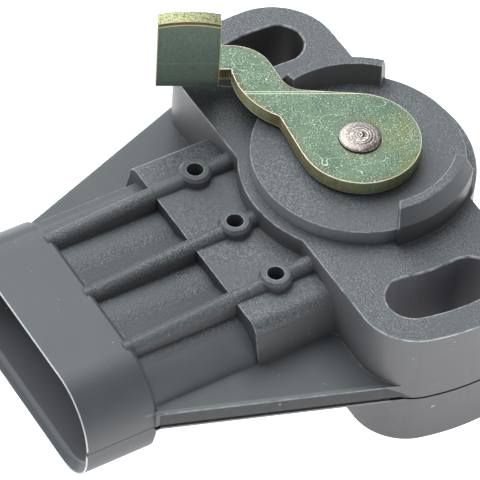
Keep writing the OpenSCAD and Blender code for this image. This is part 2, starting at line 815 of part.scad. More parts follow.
// the arm's outline in the lever's own axes: a along the bend lines, b across them
module arm_outline() {
    fillet_c = [-5.17, 9.61];
    outer_c = [-12.84, strip_b - 4.45];
    inner_c = [-4.4, 10.66];
    b0 = strip_b - strip_w;
    circle(lever_r);
    polygon([[0, 0], [0.55, lever_r - 0.02], [-7.02, 7.06], [-8.74, 11.15], [-12.84, strip_b],
        [-tab_a - 0.5, strip_b], [-tab_a - 0.5, b0], [-12.8, b0], [-8.1, 3.0], [-6.05, -2.25]]);
    intersection() {
        translate(outer_c) circle(4.45);
        polygon([outer_c, [-8.74, 11.15], [-9.89, strip_b], [-12.84, strip_b]]);
    }
    difference() {
        polygon([[-7.3, 6.7], [-5.40, 6.9], [-5.0, 7.5], [-7.2, 8.7], [-7.8, 8.5]]);
        translate(fillet_c) circle(2.7);
        polygon([[-7.65, 8.55], [-8.2, 9.85], [-6, 9.85], [-6, 8.55]]);
    }
    intersection() {
        translate(inner_c) circle(8.43);
        polygon([[-9.5, 8], [-12.8, b0], [-14, b0], [-14, 3], [-8.1, 3.0]]);
    }
}

module tab_profile() {
    b0 = strip_b - strip_w;
    z0 = -lever_t;
    ro = bend_r + lever_t;
    translate([b0, z0]) square([strip_w, lever_t]);
    difference() {
        intersection() {
            translate([b0, bend_r]) circle(ro);
            translate([b0 - ro, bend_r - ro]) square([ro + eps, ro]);
        }
        translate([b0, bend_r]) circle(bend_r);
    }
    translate([b0 - ro, bend_r - eps]) square([lever_t, tab_h - bend_r + eps]);
}

module tab() {
    b0 = strip_b - strip_w;
    bow_r = (tab_w * tab_w / 4 + tab_bow * tab_bow) / (2 * tab_bow);
    intersection() {
        difference() {
            translate([-tab_a - tab_w, 0, 0]) rotate([90, 0, 90]) linear_extrude(tab_w) tab_profile();
            translate([-tab_a - tab_w - 1, b0 + 0.05, -lever_t - 1])
                cube([1 + strip_short, strip_w + 1, lever_t + 2]);
        }
        union() {
            translate([-tab_a - tab_w - 1, -20, -5]) cube([tab_w + 2, 50, tab_h - tab_bow - 2 + 5]);
            translate([-tab_a - tab_w / 2, 30, tab_h - bow_r]) rotate([90, 0, 0]) cylinder(h = 50, r = bow_r, $fn = 256);
        }
    }
}

module lever() {
    fall_l = 10;
    color([0.45, 0.5, 0.36])
    difference() {
        translate([0, 0, lever_z1]) rotate([0, 0, lever_dir]) {
            intersection() {
                translate([0, 0, -5]) linear_extrude(8) arm_outline();
                translate([-40, 0, 0]) rotate([90, 0, 90]) linear_extrude(80)
                    polygon([[-20, 0], [bend_b, 0], [bend_b + fall_l, -fall_l * tan(arm_fall)],
                        [bend_b + fall_l - lever_t * sin(arm_fall),
                            -fall_l * tan(arm_fall) - lever_t * cos(arm_fall)],
                        [bend_b - lever_t * tan(arm_fall / 2), -lever_t], [-20, -lever_t]]);
            }
            translate([0, bend_b, 0]) rotate([-arm_fall, 0, 0]) translate([0, -bend_b, 0]) tab();
        }
        translate([0, 0, lever_z0 - 1]) linear_extrude(lever_t + 2) neck_outline(0.02);
    }
}

housing();
rear_cover();
cover_seal();
terminal_supply();
terminal_signal();
terminal_ground();
clip_supply();
clip_signal();
clip_ground();
shaft_bush();
shaft_seal();
thrust_washer();
spring_washer();
element_card();
resistor_track();
collector_track();
return_spring();
shaft();
lever();
rotor();
wiper_contact();
rotor_clip();
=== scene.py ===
import math
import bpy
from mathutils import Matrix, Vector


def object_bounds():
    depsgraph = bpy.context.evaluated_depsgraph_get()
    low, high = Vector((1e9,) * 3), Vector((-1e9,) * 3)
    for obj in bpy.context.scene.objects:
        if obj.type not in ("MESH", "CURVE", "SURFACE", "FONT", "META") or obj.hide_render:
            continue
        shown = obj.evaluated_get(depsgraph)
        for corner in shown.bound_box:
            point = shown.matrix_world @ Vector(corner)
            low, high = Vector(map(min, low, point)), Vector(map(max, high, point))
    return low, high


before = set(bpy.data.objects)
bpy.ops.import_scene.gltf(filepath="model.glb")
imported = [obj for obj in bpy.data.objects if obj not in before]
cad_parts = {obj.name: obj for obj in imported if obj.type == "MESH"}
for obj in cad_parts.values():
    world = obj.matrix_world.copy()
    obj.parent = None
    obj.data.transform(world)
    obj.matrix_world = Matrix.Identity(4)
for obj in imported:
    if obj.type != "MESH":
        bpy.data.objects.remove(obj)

from types import SimpleNamespace

import bmesh
import bpy
from bpy.props import FloatProperty, FloatVectorProperty, PointerProperty
from mathutils import Matrix, Vector

bl_info = {
    "name": "Throttle position sensor finish",
    "version": (1, 0, 0),
    "blender": (4, 5, 0),
    "location": "View3D > Sidebar > Sensor",
    "description": "Finishes for the moulded housing, plated lever and metal pieces of a throttle position sensor",
    "category": "Material",
}

CAD_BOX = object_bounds()
LENGTH = {"unit": "LENGTH", "subtype": "DISTANCE", "precision": 5}

# Sizes in millimetres in the part's own frame: x along the ears, y away from the connector's mouth, z to the lever.
PARTING_MM = 6.7  # the plane where the mould's halves meet
WEB_TOP_MM = 8.45  # top of the web beside the neck
EAR_TOP_MM = 15.6
DISC_TOP_MM = 17.3
CREASE_MM = 18.35  # where the stop walls' outer faces change slope
LEVER_TOP_MM = 19.41
MOUTH_Y_MM = -40.0
SHELL_Y_MM = -31.75  # the connector shell's rear end, where the neck starts
PADS_Y_MM = -19.8  # the pads' front faces
EARS_Y_MM = -10.9  # the ears' front wall
WEB_HALF_MM = 14.6  # half the web's width at the shell
WEB_SPREAD = 0.36  # growth of that half width along y
WEB_SQUARE = 0.94  # cosine of the web side's turn, which makes a distance along x square to the side
BORE_HALF_MM = 8.45  # from the middle of the connector's bore to the axis of its round ends
BORE_MM = 5.5  # radius of those round ends
DISC_MM = 11.3  # radius of the raised disc
WALL_MM = 15.8  # outer radius of the stop walls
SLOT_PITCH_MM = 19.05  # radius of the slots' curved middle line
SLOT_HALF_MM = 2.75
SLOT_FIRST, SLOT_LAST = math.radians(-14.7), math.radians(5.4)  # where that line ends, from the x axis
HEAD_MM = 2.25  # radius of the shaft's spun head
LEVER_DIR = math.radians(62)  # turn of the lever's own axes at rest
TAB_TOP_MM = 8.67  # the tab's top over the lever's top face
TAB_MIDDLE_MM = -17.6  # the tab's middle along the lever
TAB_BOW_MM = 13.8  # radius of the tab's bowed top

# The camera, as pixels of a square picture.
PICTURE_PX = 480
FOCAL_PX = 3714.5
SHAFT_PX = (357.36, 162.943)


def tone(r, g, b):
    """The linear values of a colour that is given as it looks on screen, from 0 to 255."""
    return tuple(((c / 255 + 0.055) / 1.055) ** 2.4 for c in (r, g, b))


def tones(**colours):
    """A set of named colours, each given as it looks on screen."""
    return SimpleNamespace(**{name: tone(*colour) for name, colour in colours.items()})


# Several of these are painted shade and light: the dark tone for flanks and tapers, the web's sides, the walls under
# the crease, the walls' ends and the far slot are painted shade; the bore, near slot and disc side colours are
# painted light; the web's edge and line colours are painted highlights; edge is partly edge wear, partly a painted
# highlight.
PLASTIC = tones(
    shade=(42, 48, 52), web_low=(38, 40, 42), web_high=(22, 24, 26), web_edge=(112, 117, 121),
    bore=(106, 108, 112), slot=(140, 138, 144), slot_deep=(108, 107, 114), far_slot=(66, 66, 68),
    under_crease=(34, 35, 39), wall_end=(34, 36, 38), disc_side=(118, 124, 126),
    grain_pale=(146, 152, 156), grain_dark=(48, 51, 54), streak=(70, 72, 75), hair=(45, 47, 50),
    nick=(205, 208, 210), edge=(176, 181, 184), line=(214, 217, 219), seam=(12, 12, 13), flash=(118, 118, 120),
)
# The bend's lines, the tab's crease line and the warm and cool edge colours are painted highlights and reflections
# on the plating.
PLATING = tones(
    teal=(66, 90, 80), sheared_brown=(132, 112, 66), sheared_tan=(190, 168, 110), sheared_green=(122, 140, 104),
    sheared_pale=(196, 200, 158), lower_edge=(226, 226, 198), tab=(122, 140, 127), tab_rim=(122, 106, 66),
    pit=(50, 64, 52), speck=(192, 202, 186), scratch=(206, 214, 198), bend=(206, 218, 190), press=(168, 172, 140),
    bow_shadow=(112, 84, 52), bow_light=(226, 206, 150), warm_edge=(236, 226, 196), cool_edge=(236, 240, 226),
    crown_dark=(96, 98, 62), crown_pale=(168, 170, 128),
)
# The crater, side and brim colours here are painted shadow and shade on the spun head; the glint is a painted
# highlight.
SPUN = tones(
    ring=(92, 84, 76), fleck=(226, 222, 214), glint=(252, 250, 244), crater=(46, 40, 36), worn=(72, 62, 56),
    rim=(214, 208, 196), brim=(26, 20, 16),
)
PALE_RIM = {"reach_mm": 0.2, "start": 0.15, "end": 0.42}  # the pale rims of small metal pieces: a painted highlight along the edges, partly bare worn metal


class Wire:
    """A shader socket that can stand in a sum; each operation adds the node that works it out."""

    def __init__(self, finish, socket):
        self.finish, self.socket = finish, socket

    def __add__(self, other):
        return self.finish.calc("ADD", self, other)

    def __sub__(self, other):
        return self.finish.calc("SUBTRACT", self, other)

    def __rsub__(self, other):
        return self.finish.calc("SUBTRACT", other, self)

    def __mul__(self, other):
        return self.finish.calc("MULTIPLY", self, other)

    def __truediv__(self, other):
        return self.finish.calc("DIVIDE", self, other)

    def __pow__(self, other):
        return self.finish.calc("POWER", self, other)

    def __abs__(self):
        return self.finish.calc("ABSOLUTE", self, 0.0)

    __radd__ = __add__


class Finish:
    """One material, built from wires. Positions are in millimetres in the part's own frame."""

    def __init__(self, name):
        self.material = bpy.data.materials.new(name)
        self.material.use_nodes = True
        self.tree = self.material.node_tree
        self.tree.nodes.clear()
        self.at = self.node("TexCoord", {}, {}, "Object") * 1000.0
        self.x, self.y, self.z = self.split(self.at)
        self.nx, self.ny, self.up = self.split(self.node("TexCoord", {}, {}, "Normal"))

    def node(self, kind, settings, sockets, out=0):
        """Adds a node, sets it up, fills its sockets with values or wires, and gives one output."""
        made = self.tree.nodes.new("ShaderNode" + kind)
        for key, value in settings.items():
            setattr(made, key, value)
        for key, value in sockets.items():
            socket = self.find(made.inputs, key)
            if isinstance(value, Wire):
                self.tree.links.new(value.socket, socket)
            elif socket.type == "RGBA":
                socket.default_value = (*value, 1.0)
            else:
                socket.default_value = value
        return Wire(self, self.find(made.outputs, out)) if made.outputs else None

    @staticmethod
    def find(sockets, key):
        """A socket by its number, its identifier or its name."""
        if isinstance(key, int):
            return sockets[key]
        named = [s for s in sockets if s.identifier == key] or [s for s in sockets if s.name == key]
        return named[0]

    def calc(self, operation, a, b):
        """A sum of two numbers, or of a vector and a plain number or three."""
        if isinstance(a, Wire) and a.socket.type == "VECTOR":
            if operation == "MULTIPLY" and isinstance(b, float):
                return self.node("VectorMath", {"operation": "SCALE"}, {0: a, "Scale": b}, "Vector")
            return self.node("VectorMath", {"operation": operation}, {0: a, 1: b}, "Vector")
        return self.node("Math", {"operation": operation}, {0: a, 1: b}, "Value")

    def split(self, vector):
        """The three numbers of a vector."""
        made = self.node("SeparateXYZ", {}, {"Vector": vector})
        return [Wire(self, s) for s in made.socket.node.outputs]

    def noise(self, per_mm, detail=1.0, shift=0.0, warp=0.0, stretch=(1.0, 1.0, 1.0)):
        """Even noise around 0.5, with so many bumps for each millimetre."""
        place = self.at * stretch + (shift, shift * 0.7, shift * 1.3)
        sockets = {"Vector": place, "Scale": per_mm, "Detail": detail, "Distortion": warp}
        return self.node("TexNoise", {}, sockets, "Fac")

    def step(self, value, start, end):
        """0 at start, 1 at end, smooth between."""
        if start > end:
            return 1.0 - self.step(value, end, start)
        sockets = {"Value": value, "From Min": start, "From Max": end}
        return self.node("MapRange", {"interpolation_type": "SMOOTHSTEP"}, sockets, "Result")

    def band(self, value, low, high, soft):
        """1 between low and high, 0 outside."""
        return self.step(value, low - soft, low) * self.step(value, high + soft, high)

    def most(self, value, *others):
        """The greatest of some values."""
        for other in others:
            value = self.calc("MAXIMUM", value, other)
        return value

    def radius(self):
        """The distance from the shaft's axis."""
        return (self.x * self.x + self.y * self.y) ** 0.5

    def mix(self, share, a, b):
        """Colour a where share is 0, colour b where it is 1."""
        sockets = {"Factor_Float": share, "A_Color": a, "B_Color": b}
        return self.node("Mix", {"data_type": "RGBA"}, sockets, "Result_Color")

    def hairlines(self, per_mm, width, keep, shift=0.0, warp=0.6):
        """Long thin curves, broken up so that only some stretches stay."""
        line = self.step(abs(self.noise(per_mm, 0.0, shift, warp) - 0.5), width, width * 0.3)
        return line * self.step(self.noise(per_mm * 0.8, shift=shift + 31.0), keep, keep + 0.08)

    def specks(self, per_mm, start, end, shift=0.0):
        """Small dots where fine noise rises over a limit."""
        return self.step(self.noise(per_mm, 0.0, shift), start, end)

    def rims(self, reach_mm, start=0.1, end=0.4):
        """1 along outer corners, from how little solid lies behind the surface."""
        settings = {"inside": True, "only_local": True, "samples": 8}
        open_share = self.node("AmbientOcclusion", settings, {"Distance": reach_mm / 1000}, "AO")
        return self.step(1.0 - open_share, start, end)

    def rounded(self, radius_mm):
        """The surface's direction with its edges eased over a radius."""
        return self.node("Bevel", {"samples": 6}, {"Radius": radius_mm / 1000}, "Normal")

    def bump(self, height, depth_mm, strength=1.0, normal=None):
        """A surface direction pushed about by a height from 0 to 1."""
        sockets = {"Height": height, "Distance": depth_mm / 1000, "Strength": strength}
        if normal is not None:
            sockets["Normal"] = normal
        return self.node("Bump", {}, sockets, "Normal")

    def close(self, colour, roughness, metallic=0.0, normal=None, **fixed):
        """Joins the wires to the surface shader and gives the finished material."""
        sockets = {"Base Color": colour, "Roughness": roughness, "Metallic": metallic}
        if normal is not None:
            sockets["Normal"] = normal
        sockets.update({key.replace("_", " "): value for key, value in fixed.items()})
        shader = self.node("BsdfPrincipled", {}, sockets, "BSDF")
        self.node("OutputMaterial", {}, {"Surface": shader})
        return self.material


def paint(material, *names):
    """Gives CAD nodes a material."""
    for name in names:
        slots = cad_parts[name].data.materials
        slots.clear()
        slots.append(material)


class HousingLook(bpy.types.PropertyGroup):
    grey: FloatVectorProperty(
        name="Plastic", description="Colour of the moulded plastic", subtype="COLOR", size=3, min=0, max=1,
        default=tone(92, 97, 101))
    wall: FloatVectorProperty(
        name="Walls", description="Colour of the smooth upright walls", subtype="COLOR", size=3, min=0, max=1,
        default=tone(94, 94, 97))
    grain: FloatProperty(
        name="Grain", description="Contrast of the eroded grain on the flat faces", default=0.9, min=0, max=1,
        subtype="FACTOR")
    edge: FloatProperty(
        name="Edge radius", description="Radius that eases the moulded edges", default=0.00014, min=0, **LENGTH)


class LeverLook(bpy.types.PropertyGroup):
    green: FloatVectorProperty(
        name="Passivated green", description="Main colour of the plated steel", subtype="COLOR", size=3, min=0,
        max=1, default=tone(101, 122, 101))
    gold: FloatVectorProperty(
        name="Gold tint", description="Yellow tint towards the pressed edges", subtype="COLOR", size=3, min=0,
        max=1, default=tone(118, 116, 66))
    brown: FloatVectorProperty(
        name="Brown tint", description="Red-brown tint on the sheared edges", subtype="COLOR", size=3, min=0,
        max=1, default=tone(104, 66, 40))


class MetalLook(bpy.types.PropertyGroup):
    steel: FloatVectorProperty(
        name="Spun steel", description="Colour of the bare spun head", subtype="COLOR", size=3, min=0, max=1,
        default=tone(178, 169, 163))
    ring_pitch: FloatProperty(
        name="Ring pitch", description="Distance between the tool rings on the spun head", default=0.0003,
        min=0.00002, **LENGTH)


class StageLook(bpy.types.PropertyGroup):
    azimuth: FloatProperty(
        name="Azimuth", description="Camera direction round the part, from the connector's side",
        default=math.radians(56.424), subtype="ANGLE")
    elevation: FloatProperty(
        name="Elevation", description="Camera angle above the floor", default=math.radians(47.983),
        subtype="ANGLE")
    roll: FloatProperty(
        name="Roll", description="Turn of the camera about its own axis", default=math.radians(3.965),
        subtype="ANGLE")
    distance: FloatProperty(
        name="Distance", description="Distance from the camera to the shaft at the ears' level", default=0.3869,
        min=0.05, unit="LENGTH")
    overhead: FloatProperty(
        name="Overhead light", description="Power of the large soft light above", default=6.0, min=0, unit="POWER")
    side: FloatProperty(
        name="Side light", description="Power of the soft light beside the part", default=0.5, min=0, unit="POWER")
    sky: FloatProperty(name="Sky", description="Strength of the even light all round", default=0.3, min=0)
    table: FloatProperty(name="Table", description="Glow of the white table under the part", default=1.3, min=0)


class SENSOR_OT_finish_housing(bpy.types.Operator):
    """Give the housing its grained moulded plastic"""

    bl_idname = "sensor.finish_housing"
    bl_label = "Finish housing"

    def execute(self, context):
        look = context.scene.sensor_housing
        f = Finish("moulded_plastic")
        m = self.masks(f)
        colour = self.moulded(f, m, look)
        colour = self.openings(f, m, colour)
        colour = self.disc_and_walls(f, m, colour)
        colour = self.eroded(f, m, look, colour)
        # Painted highlight along the web's rounded top edge.
        colour = f.mix(m.web_round * 0.6, colour, PLASTIC.web_edge)
        colour = self.wear(f, m, colour)
        colour = self.pale_edges(f, m, colour)
        colour = self.parting(f, m, colour)
        rough = 0.5 - m.smooth * 0.06 + m.drift * 0.08 - m.edge * 0.12 + m.seam * 0.4
        paint(f.close(colour, rough, 0.0, self.relief(f, m, look), IOR=1.5), "housing")
        return {"FINISHED"}

    @staticmethod
    def masks(f):
        """Where each kind of face lies, from 0 to 1, and the slow noises that several steps share."""
        m = SimpleNamespace(patch=f.noise(0.16, 2.0, shift=3.0), drift=f.noise(0.6, 2.0, shift=19.0))
        m.flat = f.step(f.up, 0.8, 0.93)
        m.upright = f.step(abs(f.up), 0.55, 0.15)
        m.shell = f.step(f.y, SHELL_Y_MM + 0.55, SHELL_Y_MM - 0.05)
        m.rib_flank = f.band(f.nx, -0.42, -0.27, 0.03) * f.step(f.y, -11.5, -12.5)
        m.web = f.step(f.z, WEB_TOP_MM + 0.85, WEB_TOP_MM + 0.15)
        m.neck_side = f.step(abs(f.x), 9.9, 10.6) * f.band(f.y, SHELL_Y_MM + 0.05, PADS_Y_MM - 0.1, 0.05)
        m.taper = f.step(f.up, 0.92, 0.8) * (1.0 - m.upright) * (1.0 - f.step(f.y, -9.0, -11.0))
        side = f.most(m.upright, m.neck_side)
        m.smooth = f.most(m.shell * 0.8, m.rib_flank * 0.75, m.web * 0.86, m.taper * 0.85, side * 0.88)

        m.around = f.radius()
        m.on_wall = f.band(m.around, DISC_MM + 0.1, WALL_MM, 0.1) * (1.0 - m.flat)
        turn = f.most(f.calc("ARCTAN2", f.y, abs(f.x)), SLOT_FIRST)
        turn = f.calc("MINIMUM", turn, SLOT_LAST)
        aside = abs(f.x) - f.calc("COSINE", turn, 0.0) * SLOT_PITCH_MM
        ahead = f.y - f.calc("SINE", turn, 0.0) * SLOT_PITCH_MM
        m.off_slot = (aside * aside + ahead * ahead) ** 0.5 - SLOT_HALF_MM

        inward = (WEB_HALF_MM + (f.y - SHELL_Y_MM) * WEB_SPREAD - abs(f.x)) * WEB_SQUARE
        before_ear = f.step(f.y + (f.z - PARTING_MM) * 1.5, -7.3, -7.5)
        # Painted shade on the web's sides, from just over the parting line up to under the web's top.
        m.web_side = f.band(f.z, PARTING_MM + 0.02, WEB_TOP_MM - 0.13, 0.04) * f.band(inward, -0.25, 0.6, 0.05)
        m.web_side = m.web_side * f.step(f.y, SHELL_Y_MM - 0.06, SHELL_Y_MM) * before_ear
        # Painted highlight along the web's rounded top edge, fading towards the ears.
        m.web_round = f.band(inward, -0.05, 0.42, 0.12) * f.band(f.z, WEB_TOP_MM - 0.15, WEB_TOP_MM + 0.15, 0.04)
        m.web_round = m.web_round * f.step(f.y, -8.0, -13.0)
        return m

    @staticmethod
    def moulded(f, m, look):
        """The plastic's cloudy grey, with painted shade on the rib flanks, the tapering faces and the pads' front
        faces, a darker tone on the shell and the web's top, and painted shade on the web's sides.
        """
        cloud = f.step(m.patch, 0.25, 0.75) * 0.5 + m.drift * 0.5
        colour = f.mix(cloud, [c * 0.9 for c in look.grey], [c * 1.1 for c in look.grey])
        colour = f.mix(m.upright, colour, look.wall)
        # Painted shade: the pads' front faces, the rib flanks and the tapering faces are darkened where less light
        # falls; the shell and the web's top only take a darker tone.
        pad_front_shade = f.band(f.y, PADS_Y_MM - 0.1, PADS_Y_MM + 0.1, 0.05) * m.upright
        web_top = m.web * f.step(f.up, 0.9, 0.97)
        painted_dim = f.most(f.most(m.rib_flank, m.taper) * 0.55, m.shell * 0.3, web_top * 0.46, pad_front_shade * 0.6)
        colour = f.mix(painted_dim, colour, PLASTIC.shade)
        # Painted shade on the web's sides, a little lighter low down.
        rise = f.step(f.z, PARTING_MM + 0.1, PARTING_MM + 0.8)
        return f.mix(m.web_side * 0.95, colour, f.mix(rise, PLASTIC.web_low, PLASTIC.web_high))

    @staticmethod
    def openings(f, m, colour):
        """Painted light inside the connector's bore and the near slot, and painted shade inside the far slot."""
        reach = f.most(abs(f.x) - BORE_HALF_MM, 0.0)
        off_axis = (reach * reach + (f.z - PARTING_MM) ** 2.0) ** 0.5
        # Painted light: the bore's walls are paler than their shade would leave them.
        bore = f.step(off_axis, BORE_MM + 0.22, BORE_MM) * m.shell
        colour = f.mix(bore * 0.9, colour, PLASTIC.bore)
        # Painted light inside the near slot, where light comes through from below, and painted shade inside the far
        # slot.
        near_slot_light = f.mix(f.step(f.y, -4.0, -1.0), PLASTIC.slot, PLASTIC.slot_deep)
        inside = f.mix(f.step(f.x, 0.5, -0.5), near_slot_light, PLASTIC.far_slot)
        slot = f.step(m.off_slot, 0.12, 0.05) * m.upright
        return f.mix(slot * 0.9, colour, inside)

    @staticmethod
    def disc_and_walls(f, m, colour):
        """Painted light on the disc's side, and painted shade on the stop walls under their crease and at their
        ends.
        """
        outward = (f.nx * f.x + f.ny * f.y) / m.around
        sideways = abs(f.nx * f.y - f.ny * f.x) / m.around
        # Painted shade on the stop walls' outer faces under their crease.
        under_crease = f.band(f.z, EAR_TOP_MM + 0.1, CREASE_MM - 0.01, 0.04) * m.on_wall * f.step(outward, 0.2, 0.5)
        colour = f.mix(under_crease * 0.7, colour, PLASTIC.under_crease)
        # Painted shade on the stop walls' end faces.
        by_disc = f.step(f.z, DISC_TOP_MM + 0.3, DISC_TOP_MM - 0.1) * f.step(f.z, EAR_TOP_MM, EAR_TOP_MM + 0.1)
        wall_end = f.step(sideways, 0.7, 0.9) * m.on_wall * by_disc
        colour = f.mix(wall_end * 0.8, colour, PLASTIC.wall_end)
        # Painted light on the disc's side, against its shade.
        disc_side = f.band(m.around, DISC_MM - 0.3, DISC_MM + 0.2, 0.05) * m.upright
        disc_side = disc_side * f.band(f.z, EAR_TOP_MM + 0.1, DISC_TOP_MM - 0.1, 0.05)
        return f.mix(disc_side * 0.9, colour, PLASTIC.disc_side)

    @staticmethod
    def eroded(f, m, look, colour):
        """The pale and dark dots of the eroded grain, in patches."""
        m.salt = f.noise(5.2, shift=5.0) * 1.1 + f.noise(9.0, 0.0, shift=47.0) * 0.9 - 1.0
        contrast = (1.0 - m.smooth) * look.grain * (0.5 + f.step(m.patch, 0.32, 0.68) * 1.1)
        contrast = contrast * (1.15 - f.step(f.y, EARS_Y_MM + 0.5, EARS_Y_MM - 0.1) * 0.1)
        colour = f.mix(f.step(m.salt * contrast, 0.05, 0.4) * 0.55, colour, PLASTIC.grain_pale)
        return f.mix(f.step(m.salt * contrast, -0.02, -0.34) * 0.6, colour, PLASTIC.grain_dark)

    @staticmethod
    def wear(f, m, colour):
        """Streaks on the walls, hair marks on the shell and a few nicks."""
        m.streak = f.noise(1.2, 2.0, shift=11.0, stretch=(1.0, 1.0, 0.05))
        colour = f.mix(m.upright * f.step(m.streak, 0.5, 0.8) * 0.2, colour, PLASTIC.streak)
        hair = f.hairlines(0.13, 0.004, 0.5, shift=71.0) * m.shell
        colour = f.mix(hair * 0.6, colour, PLASTIC.hair)
        nick = f.specks(3.2, 0.81, 0.85, shift=13.0) * f.step(f.noise(0.4, shift=91.0), 0.56, 0.64)
        return f.mix(nick * 0.5, colour, PLASTIC.nick)

    @staticmethod
    def pale_edges(f, m, colour):
        """Pale outer edges, partly edge wear and partly a painted highlight, thin broken painted highlight lines
        round the ears, the slots and the mouth, and painted light along the ears' foot on the web.
        """
        clear = 1.0 - f.band(f.z, PARTING_MM - 0.5, PARTING_MM + 0.35, 0.1)
        clear = clear * (1.0 - f.band(f.y, SHELL_Y_MM - 0.65, SHELL_Y_MM + 0.45, 0.05))
        clear = clear * (1.0 - m.on_wall * f.band(f.z, EAR_TOP_MM + 0.1, DISC_TOP_MM + 0.7, 0.1))
        # Pale outer edges: partly edge wear, partly a painted highlight.
        m.edge = f.rims(0.2, 0.14, 0.36) * clear
        broken = f.step(f.noise(1.1, 2.0, shift=29.0), 0.3, 0.62)
        colour = f.mix(m.edge * (0.15 + broken * 0.6), colour, PLASTIC.edge)
        # Painted highlight lines on the ears' top edge, the slots' rims and the mouth's rim, and painted light along
        # the foot of the ears' wall on the web.
        ear_rim_highlight = f.band(f.z, EAR_TOP_MM - 0.16, EAR_TOP_MM - 0.03, 0.03) * f.step(f.up, 0.93, 0.85)
        ear_foot_light = f.band(f.z, WEB_TOP_MM - 0.01, WEB_TOP_MM + 0.09, 0.04) * m.upright
        ear_foot_light = ear_foot_light * f.band(f.y, EARS_Y_MM, EARS_Y_MM + 2.1, 0.2)
        slot_rim_highlight = f.band(m.off_slot, 0.1, 0.2, 0.02) * m.flat * f.step(f.z, EAR_TOP_MM - 0.2, EAR_TOP_MM - 0.05)
        mouth_rim_highlight = m.edge * f.step(f.y, MOUTH_Y_MM + 0.6, MOUTH_Y_MM + 0.3)
        lines = f.most(ear_rim_highlight, ear_foot_light * 0.7, slot_rim_highlight * 0.8) * (0.1 + broken * 0.55)
        return f.mix(f.most(lines, mouth_rim_highlight), colour, PLASTIC.line)

    @staticmethod
    def parting(f, m, colour):
        """The dark line where the mould's halves meet, and the ragged pale flash on the web's lip."""
        along_web = f.band(f.y, SHELL_Y_MM + 0.15, -9.5, 0.2)
        m.seam = f.band(f.z + (1.0 - along_web) * 0.08, PARTING_MM - 0.16, PARTING_MM + 0.03, 0.03)
        m.seam = m.seam * f.most(m.upright, 1.0 - along_web)
        colour = f.mix(m.seam * 0.95, colour, PLASTIC.seam)
        flash = f.band(f.z, PARTING_MM - 0.5, PARTING_MM - 0.16, 0.02) * along_web * (1.0 - m.seam)
        ragged = f.step(f.noise(2.4, 2.0, shift=37.0, stretch=(1.0, 1.0, 0.1)), 0.4, 0.6)
        return f.mix(flash * (0.6 + ragged * 0.4), colour, PLASTIC.flash)

    @staticmethod
    def relief(f, m, look):
        """Eased edges, a slow waviness, the bays' peel and the eroded grain."""
        normal = f.bump(m.drift * 0.6 + m.streak * 0.4, 0.04, 0.25, f.rounded(look.edge * 1000))
        bays = f.band(f.y, SHELL_Y_MM + 0.15, PADS_Y_MM - 0.1, 0.1) * f.step(f.z, 10.6, 11.2) * (1.0 - m.neck_side)
        normal = f.bump(f.noise(4.6, shift=51.0) * bays, 0.13, 0.8, normal)
        normal = f.bump(m.salt * (1.0 - m.smooth), 0.014, 0.5, normal)
        return f.bump(f.noise(5.0, 2.0, shift=23.0) * (1.0 - m.smooth), 0.045, 0.6, normal)


class SENSOR_OT_finish_cover(bpy.types.Operator):
    """Finish the rear cover, its gasket and the shaft seal"""

    bl_idname = "sensor.finish_cover"
    bl_label = "Finish cover and seals"

    def execute(self, context):
        f = Finish("cover_plastic")
        cloud = f.noise(0.25, 2.0, shift=2.0)
        colour = f.mix(cloud, tone(46, 48, 51), tone(62, 65, 68))
        colour = f.mix(f.specks(7.0, 0.58, 0.74, shift=9.0) * 0.35, colour, tone(120, 124, 128))
        # Pale rims: partly edge wear, partly a painted highlight.
        colour = f.mix(f.rims(0.3, 0.16, 0.42) * 0.4, colour, tone(120, 124, 127))
        normal = f.bump(f.noise(6.0, 2.0, shift=8.0), 0.03, 0.45, f.rounded(0.12))
        paint(f.close(colour, 0.5 + cloud * 0.15, 0.0, normal, IOR=1.5), "rear_cover")
        f = Finish("seal_rubber")
        pore = f.specks(5.0, 0.62, 0.75, shift=4.0)
        colour = f.mix(f.noise(0.8, 3.0), tone(24, 24, 26), tone(38, 38, 40))
        normal = f.bump(f.noise(3.0, 2.0) - pore * 0.5, 0.02, 0.4, f.rounded(0.08))
        paint(f.close(colour, 0.62 + pore * 0.2, 0.0, normal, IOR=1.5), "cover_seal", "shaft_seal")
        return {"FINISHED"}


